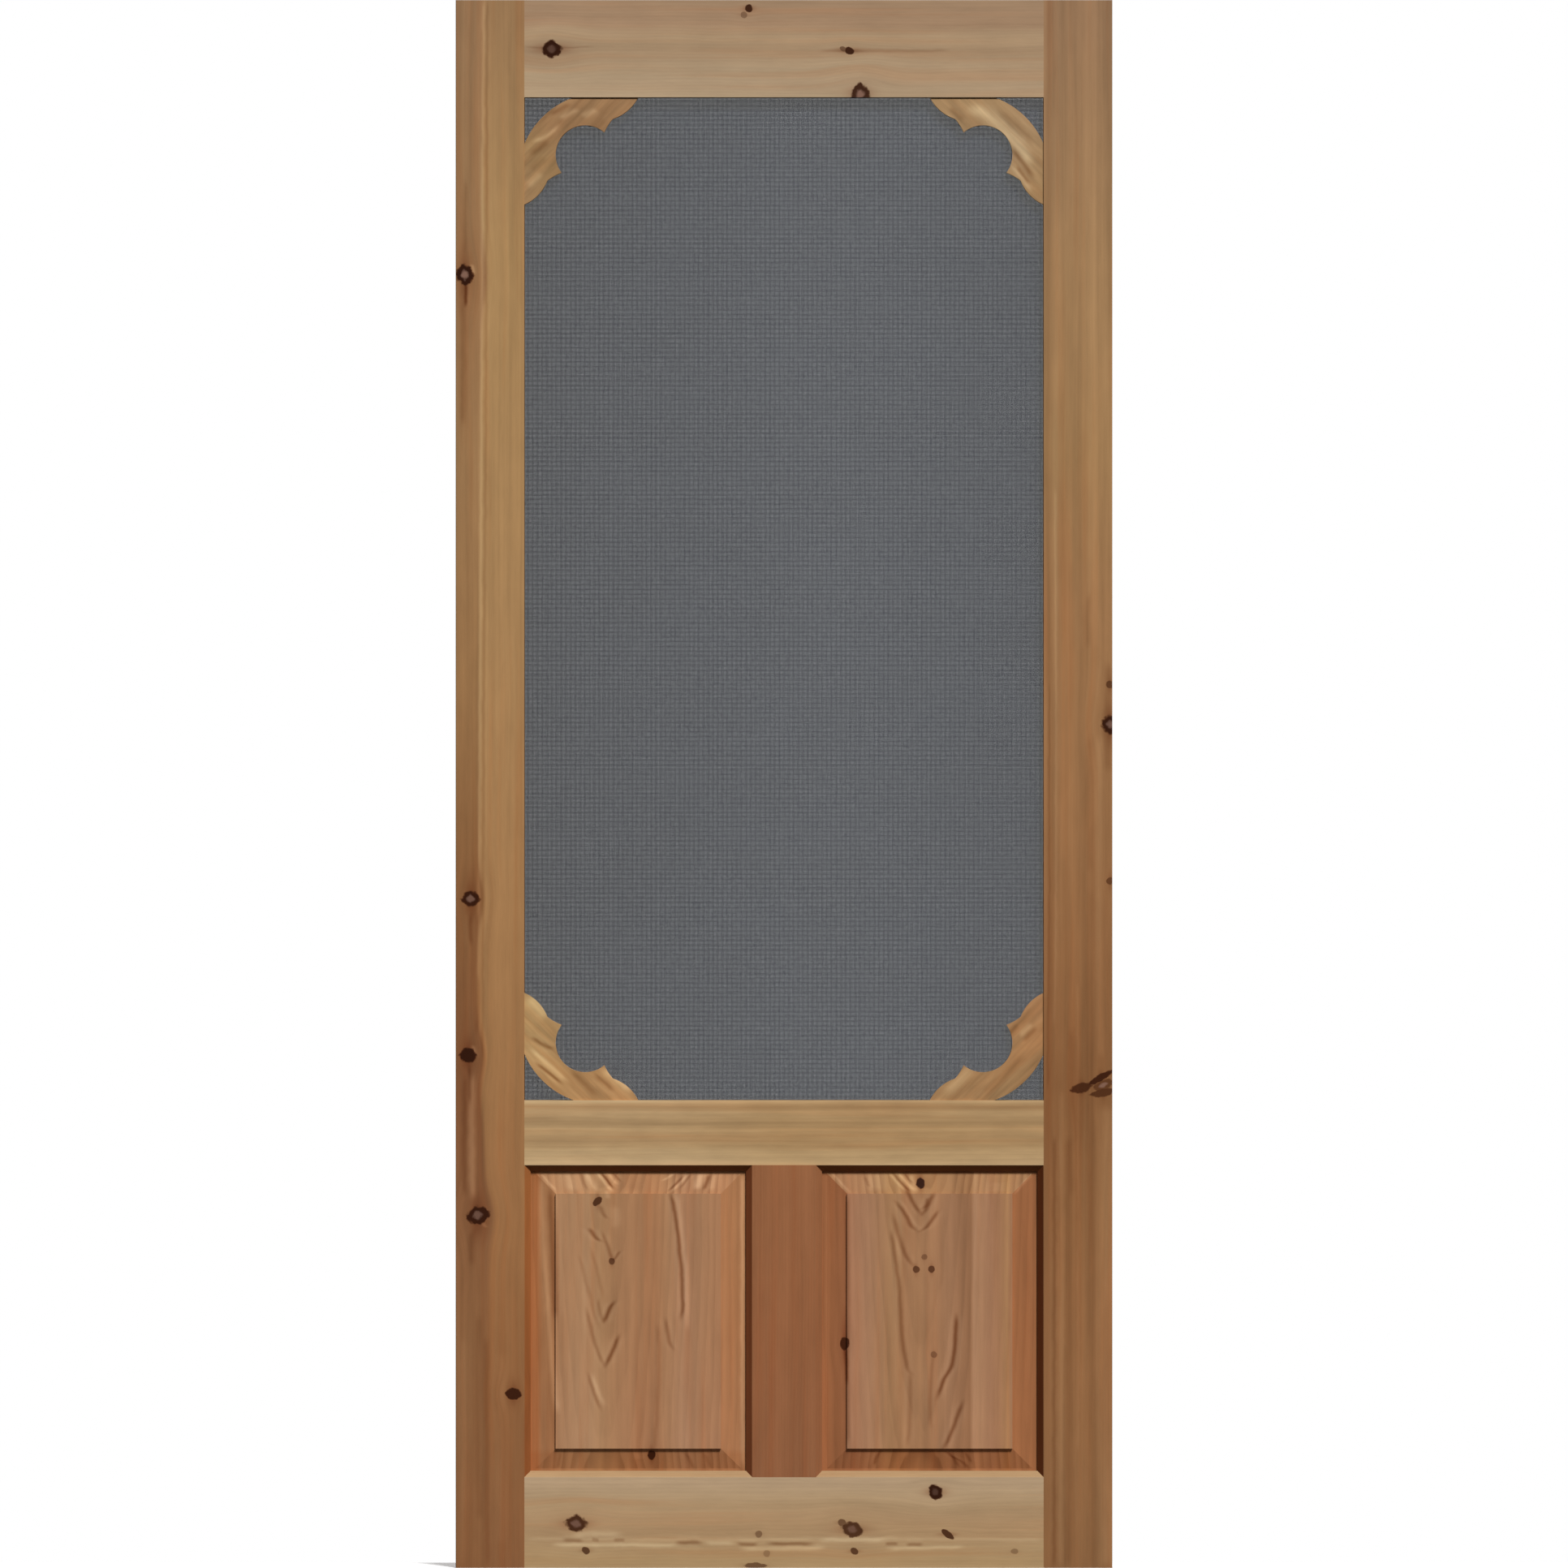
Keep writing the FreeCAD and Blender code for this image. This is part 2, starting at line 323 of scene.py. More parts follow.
def knot_masks(grain, knots):
    """How far knots push the grain aside, and where they are dark, have a pale eye, or stain it.

    A knot is (x, z, half size along its axis, half size across it, tilt of its axis from the
    grain, darkness, paleness of its eye, length of its stain along the grain). Towards the back
    it leans along the grain and tapers.
    """
    push = dark = eye = stain = 0.0
    behind = grain.depth - FRONT
    rough = noise((grain.x, 1 / 0.17), (grain.depth, 20), (grain.z, 1 / 0.17))
    ragged = rough.times_plus(KNOT_RAGGEDNESS, behind * KNOT_TAPER)
    slanted = behind.times_plus(KNOT_LEAN, grain.length)
    for x, z, half_along, half_across, tilt, darkness, paleness, tail in knots:
        along, side = grain.local(x, z)
        dl = slanted - along
        dw = grain.across - side
        c, s = math.cos(math.radians(tilt)), math.sin(math.radians(tilt))
        u = dl.times_plus(c / half_along, dw * (s / half_along))
        v = dw.times_plus(c / half_across, dl * (-s / half_across))
        if half_along > LARGE_KNOT:
            size = u.absolute() ** POINTED + v.absolute() ** POINTED
        else:
            size = u.times_plus(u, v * v)
        dark = ((size + ragged).span(*KNOT_OUTLINE) * darkness).highest(dark)
        if paleness:
            middle = rough.times_plus(EYE_RAGGEDNESS, size).span(*EYE_OUTLINE)
            eye = (middle * paleness).highest(eye)
        around = oval(dl, half_along * PUSH_ALONG, dw, half_across * PUSH_ACROSS)
        push = (dw * (KNOT_PUSH * darkness)).times_plus(around, push)
        stained = oval(dl, tail, dw, half_across * STAIN_ACROSS)
        stain = (stained * darkness).highest(stain)
    return push, dark, eye, stain


def line_sum(grain, lines):
    """Lines of grain drawn one by one, added up: the dark ones, and the light ones with rims.

    A line is (half width, strength, points). Its strength is below 0 where it is dark, and a dark
    line has light rims. Some of the lines are painted highlights, and one is a painted shadow.
    """
    dark = light = rim = 0.0
    length = grain.length
    waver = noise((length, 20), (grain.across, 20), (grain.depth, 20))
    place = waver.times_plus(LINE_WAVER, grain.across)
    for half_width, strength, points in lines:
        path = grain.path(points)
        start, stop = path[0][0], path[-1][0]
        fade = min(LINE_END, (stop - start) * LINE_END_SHARE)
        early = fade * LINE_OVERSHOOT
        gap = (place - length.curve(path)) * (1 / half_width)
        square = gap * gap
        line = square.fade()
        reach = length.span(start - early, start + fade) * length.span(stop + early, stop - fade)
        reach = reach * abs(strength)
        if strength < 0:
            dark = line.times_plus(reach, dark)
            rim = ((square * RIM_NARROWNESS).fade() - line).times_plus(reach, rim)
        else:
            light = line.times_plus(reach, light)
    if rim:
        light = rim.times_plus(RIM_STRENGTH, light)
    return dark, light


def late_wood(grain, bent, seed, pith, pith_slope, spacing):
    """Where the growth rings are dark.

    They are cylinders about the pith, so a slanted cut shows them as V shapes.
    """
    length, depth = grain.length, grain.depth
    beside = bent - pith[0]
    below = depth - length.times_plus(pith_slope, pith[1])
    ripple = noise((length, 120), (bent, 22), (depth, 22, seed)) * RING_RIPPLE
    growth = ((beside * beside + below * below) ** 0.5 + ripple) * (1 / spacing)
    part = growth.math("FRACT")
    late = part.span(*LATE_RISE) * part.span(*LATE_FALL)
    uneven = noise((growth, 1 / 0.31), (length, 500, seed * 1.7), (depth, 100))
    return late * uneven.times_plus(2.0, 0.7)


def board_colour(grain, bent, tones, second, profile):
    """A board's colours along its grain, in two zones where it has them, and across it."""
    colour = grain.length.ramp(tones)
    if second:
        other_tones, points = second
        other = (bent - grain.length.curve(grain.path(points))).span(-SEAM, SEAM)
        colour = colour.mixed(grain.length.ramp(other_tones), other)
    if profile:
        stops = []
        for place, tint in profile:
            if not isinstance(tint, tuple):
                tint = (tint, tint, tint)
            stops.append((grain.across_at(place), (*(part / RAMP_ROOM for part in tint), 1.0)))
        colour = colour.mixed(bent.ramp(sorted(stops)), 1.0, "MULTIPLY").scaled(RAMP_ROOM)
    return colour


def panel_bevels(colour, grain, late, bevel_painted_shade, top_bevel_painted_light):
    """Painted light on a panel's top bevel, painted shade on the rest, and dark end-grain rings."""
    tree = colour.tree
    geometry = tree.nodes.new("ShaderNodeNewGeometry")
    facing = split(tree, geometry.outputs["Normal"])[2]
    cut = grain.depth.absolute().span(BEVEL_BEGINS, BEVEL_FULL)
    end_grain = facing.absolute().span(UPRIGHT, SLOPED)
    colour = colour.tinted(DARK_LINE, cut * late * end_grain * END_GRAIN)
    # painted shade on the bevels that face sideways or down, painted light on the one facing up
    colour = colour.tinted(bevel_painted_shade, cut * facing.span(SLOPED, UPRIGHT))
    return colour.tinted(top_bevel_painted_light, cut * facing.span(UPRIGHT, SLOPED))


def wood(
    name,
    angle,
    tones,
    seed,
    profile=(),
    second=None,
    painted_edge_shade=(),
    bevel_painted_shade=None,
    top_bevel_painted_light=None,
    lines=(),
    knots=(),
    pith=(400.0, 60.0),
    pith_slope=0.0,
    spacing=4.0,
    rings=0.08,
    grain_width=8.0,
    grain_length=420.0,
    streaks=0.4,
    fines=0.1,
    bands=0.3,
    mottles=0.2,
    wander=8.0,
    red=0.4,
):
    """A board of solid wood: growth rings about a pith, streaks, fibres, drawn lines and knots.

    angle is the grain's direction in degrees up from x.
    tones are (place along the grain, colour).
    profile is (place across the face as x or z, lightness or tint); the lock rail's lightest
    stops are painted highlights along its edges.
    second is a board's other zone, as tones and the points of the line where it begins.
    The edge tints are (place across the face where it begins, place where it is full, tint),
    and paint shade on a sticking.
    The bevel tints are painted shade on a panel's bevels that face sideways or down, and the top
    bevel tint is painted light on the bevel that faces up.
    pith is the rings' centre as (across the grain, depth) where the length along the grain is 0,
    and pith_slope is how much deeper it lies for each millimetre of length.
    spacing is between the rings, and rings is how dark they are.
    grain_width and grain_length are the size of the streaks.
    streaks, fines, bands and mottles are the strengths of four kinds of shading, wander is how
    far the grain strays, and red is how much of the board is reddish.
    """
    material, tree, shader = new_material(name)
    grain = Grain(tree, angle)
    length, depth = grain.length, grain.depth
    bent = grain.across
    if knots:
        push, dark, eye, stain = knot_masks(grain, knots)
        bent = bent - push
    stray = noise((length, 420), (grain.across, 70), (depth, 70, seed * 3.1))
    bent = stray.times_plus(wander, bent)
    late = late_wood(grain, bent, seed, pith, pith_slope, spacing)

    streak = noise((bent, grain_width), (length, grain_length, seed), (depth, 20))
    band = noise((bent, 30, seed), (length, 900), (depth, 60), detail=1.0)
    fibre = noise((grain.across, FIBRE_WIDTH), (length, 18), (depth, FIBRE_WIDTH))
    mottle = noise((length, 55), (bent, 16), (depth, 40, seed * 2.3), detail=3.0)
    shade = streak * streaks + band * bands + fibre * FIBRE_SHADE + mottle * mottles
    if fines:
        fine = noise((bent, 2.4), (length, 260, seed), (depth, 5), detail=1.0)
        shade = shade + fine * fines
    shade = shade - late * rings + (1 + rings * LATE_MEAN)
    warm = noise((bent, 14), (length, 420), (depth, 40, seed * 5.0), detail=3.0).span(-0.05, 0.25)

    colour = board_colour(grain, bent, tones, second, profile).scaled(shade)
    colour = colour.tinted(RED_TINT, warm * red)
    if lines:
        darker, lighter = line_sum(grain, lines)
        if darker:
            colour = colour.tinted(DARK_LINE, darker.at_most(1.0))
        if lighter:
            colour = colour.tinted(LIGHT_LINE, lighter.at_most(1.0))
    if bevel_painted_shade:
        colour = panel_bevels(colour, grain, late, bevel_painted_shade, top_bevel_painted_light)
    # painted shade: tints across the face that darken the stickings
    for begins, full, tint in painted_edge_shade:
        colour = colour.tinted(tint, grain.face.span(begins, full))
    if knots:
        colour = colour.tinted(KNOT_STAIN, (stain * STAIN_STRENGTH).highest(dark))
        colour = colour.mixed(KNOT_HEART, dark)
        if eye:
            colour = colour.mixed(KNOT_EYE, eye)
    feed(tree, colour, shader.inputs["Base Color"])
    feed(tree, fibre * 0.25 - late * 0.1 + WOOD_ROUGHNESS, shader.inputs["Roughness"])
    shader.inputs["Specular IOR Level"].default_value = WOOD_SPECULAR
    bump(shader, fibre, distance_mm=0.2, strength=0.3)
    return material


# Boards

LEFT_STILE = wood(
    "left_stile_wood",
    90,
    (
        (0, rgb(130, 88, 56)),
        (220, rgb(133, 91, 57)),
        (420, rgb(147, 103, 65)),
        (800, rgb(161, 119, 77)),
        (1150, rgb(170, 131, 87)),
        (1700, rgb(171, 135, 90)),
        (2032, rgb(156, 121, 84)),
    ),
    seed=1.0,
    second=(
        (
            (0, rgb(127, 86, 54)),
            (300, rgb(138, 96, 62)),
            (440, rgb(134, 91, 59)),
            (620, rgb(124, 82, 52)),
            (900, rgb(134, 93, 58)),
            (1150, rgb(153, 114, 74)),
            (1450, rgb(156, 119, 80)),
            (1650, rgb(148, 109, 73)),
            (1800, rgb(151, 116, 80)),
            (2032, rgb(150, 116, 83)),
        ),
        (
            (36, 2032), (33, 1500), (30, 1080), (29, 700), (32, 625),
            (37, 560), (40, 450), (43, 350), (38, 200), (40, 0),
        ),
    ),
    # painted shade: a reddish darkening of the stile's inner sticking
    painted_edge_shade=((88.8, 90, (0.98, 0.72, 0.55)),),
    lines=(
        (2.2, 0.45, ((36, 2032), (33, 1500), (31, 1080), (29, 760))),
        (2.2, -0.25, ((41, 2032), (39, 1500), (36, 1080), (35, 660))),
        (4.0, -0.4, ((12, 640), (11, 560), (12, 480))),
        (4.2, 0.9, ((21, 642), (21, 560), (22, 476))),
        (3.5, -0.24, ((28, 850), (30, 760), (27, 690))),
        (4.0, -0.3, ((13, 1800), (12, 1700))),
        (5.0, -0.35, ((9, 1668), (10, 1600), (9, 1480))),
        (3.0, -0.5, ((20, 850), (19, 828), (20, 806))),
        (3.0, -0.5, ((17, 655), (18, 630), (18, 600))),
        (5.0, -0.4, ((23, 440), (20, 415), (21, 390))),
        (2.4, -0.9, ((12, 1668), (13, 1652), (13, 1634))),
        (3.0, 1.00, ((22, 678), (24, 670), (26, 662))),
        (2.5, 0.90, ((20, 1690), (22, 1684), (23, 1676))),
        (3.0, 0.60, ((34, 448), (37, 444), (40, 441))),
        (6.0, -0.25, ((30, 330), (28, 200), (31, 60))),
        (5.0, -0.30, ((40, 300), (40, 150), (41, 0))),
        (6.0, 0.20, ((59, 280), (58, 150), (59, 30))),
        (6.0, 0.20, ((9, 300), (9, 150), (8, 0))),
    ),
    knots=(
        (11.9, 1676.0, 14.0, 11.5, 0.0, 1.0, 0.9, 32.0),
        (19.2, 867.2, 11.0, 11.5, 0.0, 0.95, 0.6, 26.0),
        (16.1, 664.2, 10.0, 11.5, 0.0, 1.0, 0.0, 20.0),
        (28.5, 457.0, 12.0, 15.5, 15.0, 0.95, 0.5, 30.0),
        (75.0, 225.6, 7.5, 10.0, 0.0, 0.9, 0.0, 14.0),
    ),
    pith=(-420.0, 50.0),
    spacing=7.0,
    rings=0.04,
    grain_width=10.0,
)
RIGHT_STILE = wood(
    "right_stile_wood",
    90,
    (
        (0, rgb(134, 95, 61)),
        (330, rgb(139, 97, 62)),
        (500, rgb(136, 95, 60)),
        (620, rgb(131, 90, 56)),
        (850, rgb(143, 101, 65)),
        (1050, rgb(148, 107, 70)),
        (1250, rgb(154, 114, 76)),
        (1450, rgb(157, 121, 81)),
        (1700, rgb(158, 123, 85)),
        (2032, rgb(151, 117, 86)),
    ),
    seed=2.0,
    profile=(
        (762, 1.0), (769, (0.96, 0.92, 0.9)), (777, (1.06, 1.09, 1.12)), (787, 0.96), (800, 1.0),
        (816, 0.98), (832, 1.04), (851, 1.03),
    ),
    # painted shade on the stile's inner sticking, which faces away from the light
    painted_edge_shade=((762.2, 761, (0.42, 0.24, 0.17)),),
    lines=(
        (1.8, 0.25, ((777, 1400), (778, 1000), (776, 700))),
        (1.8, -0.25, ((769, 1150), (769, 900), (767, 620))),
        (10.0, 0.50, ((844, 600), (843, 300), (843, 0))),
        (5.0, 0.25, ((835, 1080), (834, 900), (836, 660))),
        (3.4, -0.45, ((776, 560), (776, 300), (776, 0))),
        (3.0, 0.20, ((785, 620), (786, 300), (785, 0))),
        (6.0, -0.28, ((794, 560), (795, 300), (794, 0))),
        (5.0, -0.15, ((823, 880), (825, 400), (826, 0))),
        (2.0, 0.2, ((806, 760), (807, 500), (806, 150))),
        (7.0, -0.3, ((846, 1175), (845, 1100), (846, 1030))),
        (4.0, -0.25, ((821, 1265), (819, 1225), (820, 1190))),
        (5.0, -0.2, ((798, 700), (796, 600), (798, 480))),
        (6.0, -0.2, ((822, 1080), (820, 1000), (823, 900))),
    ),
    knots=(
        (848.0, 1093.3, 12.5, 11.0, 0.0, 0.95, 0.6, 24.0),
        (848.0, 1145.0, 5.0, 5.0, 0.0, 0.55, 0.0, 12.0),
        (848.0, 890.0, 5.0, 5.0, 0.0, 0.5, 0.0, 12.0),
        (811.0, 622.0, 14.0, 7.0, -76.0, 0.7, 0.0, 10.0),
        (836.0, 635.5, 19.0, 4.5, -60.0, 0.85, 0.0, 8.0),
        (839.0, 616.0, 17.0, 5.5, -80.0, 0.6, 0.0, 8.0),
        (839.0, 625.5, 14.0, 7.0, -66.0, 0.45, 0.8, 8.0),
    ),
    pith=(-440.0, 50.0),
    spacing=7.0,
    rings=0.03,
    grain_width=11.0,
    streaks=0.55,
    bands=0.45,
)
TOP_RAIL = wood(
    "top_rail_wood",
    0,
    ((0, rgb(168, 142, 112)), (851, rgb(166, 139, 109))),
    seed=3.0,
    profile=(
        (1906, (1.2, 1.26, 1.3)), (1922, (1.12, 1.15, 1.18)), (1940, (1.12, 1.17, 1.2)),
        (1955, 1.03), (1966, (1.0, 0.98, 0.96)), (1980, (1.1, 1.09, 1.07)),
        (1988, (1.06, 1.05, 1.04)), (2000, (0.95, 0.88, 0.87)), (2032, (0.93, 0.88, 0.88)),
    ),
    lines=(
        (2.5, -0.3, ((470, 1966), (560, 1966), (640, 1967))),
        (1.5, -0.25, ((89, 1972), (118, 1970), (180, 1972))),
    ),
    knots=(
        (124.4, 1968.4, 13.0, 11.0, 0.0, 1.0, 0.3, 26.0),
        (380.0, 2021.0, 5.0, 5.0, 0.0, 0.9, 0.0, 8.0),
        (373.7, 2012.6, 4.5, 4.0, 0.0, 0.35, 0.0, 8.0),
        (510.4, 1966.3, 6.0, 4.5, -20.0, 0.9, 0.0, 16.0),
        (502.0, 1968.6, 4.5, 3.0, -20.0, 0.5, 0.0, 10.0),
        (524.1, 1910.0, 12.0, 15.0, 0.0, 0.9, 0.9, 16.0),
    ),
    pith=(2250.0, 120.0),
    streaks=0.2,
    rings=0.05,
    fines=0.05,
)
LOCK_RAIL = wood(
    "lock_rail_wood",
    0,
    (
        (0, rgb(171, 140, 100)),
        (280, rgb(172, 141, 101)),
        (420, rgb(167, 135, 94)),
        (851, rgb(166, 134, 94)),
    ),
    seed=4.0,
    profile=(
        # the lightest stops, at 522 to 531 and at 602 to 606, are painted highlights along the
        # edges
        (522, (1.4, 1.5, 1.65)), (526, (1.4, 1.48, 1.6)), (531, (1.22, 1.28, 1.36)),
        (540, (1.17, 1.22, 1.28)), (546, 1.02), (553, (0.91, 0.885, 0.87)),
        (562, (1.04, 1.03, 1.02)), (569, 1.08), (577, (0.9, 0.89, 0.88)), (590, (1.09, 1.11, 1.14)),
        (598, (0.9, 0.885, 0.88)), (602, (1.2, 1.24, 1.28)), (606, (1.4, 1.5, 1.65)),
    ),
    # painted shade on the sticking under the rail, above the panels
    painted_edge_shade=((522.3, 520.8, (0.31, 0.16, 0.09)),),
    pith=(300.0, 30.0),
    spacing=6.0,
    rings=0.06,
    mottles=0.35,
    wander=3.0,
)
BOTTOM_RAIL = wood(
    "bottom_rail_wood",
    0,
    ((0, rgb(168, 138, 103)), (851, rgb(168, 138, 103))),
    seed=5.0,
    profile=(
        (0, (1.0, 1.0, 0.95)), (8, (0.9, 0.9, 0.82)), (24, (0.98, 0.99, 0.94)),
        (38, (0.97, 0.95, 0.91)), (54, (0.94, 0.91, 0.88)), (66, (0.97, 0.95, 0.94)),
        (80, (1.01, 1.03, 1.04)), (98, (1.0, 1.06, 1.15)), (108, (1.07, 1.14, 1.27)),
        (117, (1.14, 1.22, 1.38)),
    ),
    # painted shade that tones down the lit sticking along the rail's top edge
    painted_edge_shade=((117, 118.4, (0.84, 0.76, 0.64)),),
    lines=(
        (3.0, -0.6, ((138, 36), (150, 36), (166, 35))),
        (2.8, -0.5, ((176, 37), (186, 36))),
        (2.8, -0.5, ((204, 36), (220, 36))),
        (3.2, -0.7, ((284, 33), (302, 33), (320, 32))),
        (2.8, -0.7, ((364, 32), (378, 31), (392, 31))),
        (2.6, -0.75, ((402, 32), (440, 31), (466, 31))),
        (2.8, -0.6, ((556, 31), (574, 31))),
        (2.8, -0.6, ((583, 30), (606, 31))),
        (4.0, 0.5, ((150, 42), (185, 44), (215, 43))),
        (2.6, 0.6, ((125, 30), (200, 30), (290, 29))),
        (2.6, 0.5, ((322, 33), (345, 32), (362, 32))),
        (3.0, 0.6, ((370, 25), (420, 25), (480, 26))),
        (3.0, 0.6, ((470, 36), (530, 36), (560, 37))),
        (2.6, 0.5, ((560, 25), (600, 26), (660, 27))),
        (2.5, 0.25, ((90, 38), (300, 37), (560, 38), (762, 36))),
    ),
    knots=(
        (156.0, 57.3, 15.0, 11.0, -8.0, 0.85, 0.5, 22.0),
        (513.6, 50.0, 14.0, 10.5, -20.0, 0.8, 0.4, 22.0),
        (501.0, 58.4, 6.0, 4.5, -30.0, 0.55, 0.0, 10.0),
        (621.9, 98.3, 11.0, 9.0, -60.0, 1.0, 0.2, 14.0),
        (637.7, 43.6, 9.0, 4.0, -38.0, 0.8, 0.0, 12.0),
        (168.6, 22.6, 5.5, 4.5, -30.0, 0.7, 0.0, 8.0),
        (516.7, 21.6, 5.5, 4.0, -30.0, 0.7, 0.0, 8.0),
        (392.6, 43.6, 4.5, 4.5, 0.0, 0.4, 0.0, 6.0),
        (403.2, 18.4, 4.5, 4.5, 0.0, 0.25, 0.0, 6.0),
        (387.4, 3.0, 15.0, 4.0, 0.0, 0.55, 0.0, 16.0),
        (724.0, 21.6, 5.0, 3.5, 0.0, 0.3, 0.0, 6.0),
    ),
    pith=(260.0, 150.0),
    streaks=0.2,
    rings=0.05,
    fines=0.05,
)
MUNTIN = wood(
    "muntin_wood",
    90,
    ((100, rgb(137, 90, 60)), (290, rgb(143, 93, 61)), (540, rgb(146, 96, 63))),
    seed=6.0,
    # painted shade on the muntin's left sticking
    painted_edge_shade=((384.4, 383.2, (0.65, 0.5, 0.42)),),
    pith=(-700.0, 60.0),
    streaks=0.25,
    rings=0.06,
)
LEFT_PANEL = wood(
    "left_panel_wood",
    90,
    (
        (147, rgb(157, 110, 76)),
        (155, rgb(162, 118, 85)),
        (300, rgb(161, 117, 83)),
        (600, rgb(164, 121, 86)),
    ),
    seed=7.0,
    profile=(
        (89, (1.0, 0.8, 0.66)), (104, (1.04, 0.84, 0.7)), (110, 1.0), (132, (1.08, 1.12, 1.13)),
        (168, (1.1, 1.22, 1.28)), (188, (1.04, 1.12, 1.1)), (200, (1.07, 1.11, 1.08)),
        (216, (0.96, 0.96, 0.94)), (238, (1.01, 1.0, 0.98)), (262, (0.94, 0.89, 0.85)),
        (274, (0.99, 1.0, 0.99)), (299, (1.04, 1.1, 1.2)), (322, (1.04, 1.04, 1.06)),
        (345, (1.02, 0.99, 1.0)), (384, 1.0),
    ),
    # painted shade on the side and bottom bevels, painted light on the top bevel
    bevel_painted_shade=(0.97, 0.88, 0.77),
    top_bevel_painted_light=(1.04, 1.02, 0.97),
    lines=(
        (3.1, -0.85, ((278, 487), (285, 454), (290, 412), (293, 380), (294, 349), (292, 320))),
        (3.9, 0.35, ((286, 487), (293, 433), (298, 380), (300, 307))),
        (3.1, -0.55, ((271, 325), (274, 307), (278, 291), (283, 281))),
        (2.9, -0.4, ((184, 349), (187, 332), (192, 316))),
        (3.4, -0.95, ((206, 347), (199, 335), (192, 317))),
        (3.1, -0.45, ((169, 338), (176, 307), (184, 281), (194, 259))),
        (3.4, -0.9, ((212, 303), (205, 286), (194, 259))),
        (2.9, -0.5, ((171, 254), (179, 228), (189, 203))),
        (3.1, 0.45, ((176, 252), (184, 230), (193, 210))),
        (3.1, -0.3, ((160, 406), (169, 370), (177, 340), (185, 311))),
        (3.1, -0.25, ((174, 417), (183, 385), (191, 349))),
        (3.9, -0.3, ((263, 317), (264, 264), (262, 222), (257, 149))),
        (2.9, -0.5, ((190, 437), (198, 412), (203, 397))),
        (2.6, -0.6, ((213, 411), (204, 398))),
        (4.2, -0.8, ((173, 441), (181, 429), (189, 422))),
        (3.4, -0.5, ((188, 470), (191, 460), (196, 452))),
        (5.9, 0.3, ((205, 470), (207, 455), (206, 440))),
        (3.1, 0.4, ((196, 490), (198, 478))),
        (9.0, 0.40, ((140, 513), (146, 500), (152, 488))),
        (2.5, -0.40, ((162, 513), (166, 500), (171, 489))),
        (4.5, 0.60, ((168, 513), (176, 500), (184, 488))),
        (3.0, 1.00, ((183, 513), (193, 500), (203, 487))),
        (2.8, -1.00, ((187, 513), (196, 502), (205, 491))),
        (2.8, 0.80, ((195, 513), (203, 504), (210, 496))),
        (2.4, -0.50, ((202, 513), (209, 506), (214, 500))),
        (15.0, -0.22, ((228, 513), (228, 500), (228, 488))),
        (3.0, 0.70, ((286, 513), (277, 507), (268, 501))),
        (2.6, -0.80, ((295, 508), (286, 498), (276, 488))),
        (2.6, 0.70, ((300, 510), (290, 499), (280, 487))),
        (2.2, -0.50, ((306, 511), (298, 501), (290, 491))),
        (5.0, 1.00, ((320, 513), (316, 502), (312, 490))),
        (3.2, -0.80, ((329, 510), (325, 499), (321, 489))),
        (5.0, 0.40, ((338, 513), (334, 500), (330, 488))),
        # a painted highlight along the mitre of the bevels at the top-left corner
        (2.4, 0.60, ((108, 513), (118, 502), (130, 488))),
        (4.0, 0.60, ((110, 505), (112, 440), (116, 380), (121, 322), (126, 250), (132, 200))),
        (5.2, -0.60, ((122, 492), (125, 440), (127, 390), (129, 322))),
        # a painted highlight along the foot of the bevel, beside the muntin
        (2.6, 0.90, ((371.5, 512), (371.5, 320), (371.5, 130))),
        (2.8, -0.35, ((136, 150), (134, 140), (132, 128))),
        (3.2, -0.40, ((297, 150), (303, 140), (308, 127))),
        (4.0, -0.25, ((321, 149), (327, 138), (331, 128))),
        (6.0, 0.30, ((236, 150), (237, 146), (238, 140))),
    ),
    knots=(
        (184.0, 476.0, 8.0, 4.5, -45.0, 0.75, 0.0, 12.0),
        (202.3, 398.1, 4.5, 4.0, 0.0, 0.6, 0.0, 8.0),
        (253.8, 148.0, 6.6, 5.5, 0.0, 0.9, 0.0, 10.0),
    ),
    pith=(-192.0, 62.0),
    pith_slope=-0.07,
    spacing=9.0,
    rings=0.1,
    grain_width=13.0,
    streaks=0.5,
    fines=0.0,
    bands=0.35,
)
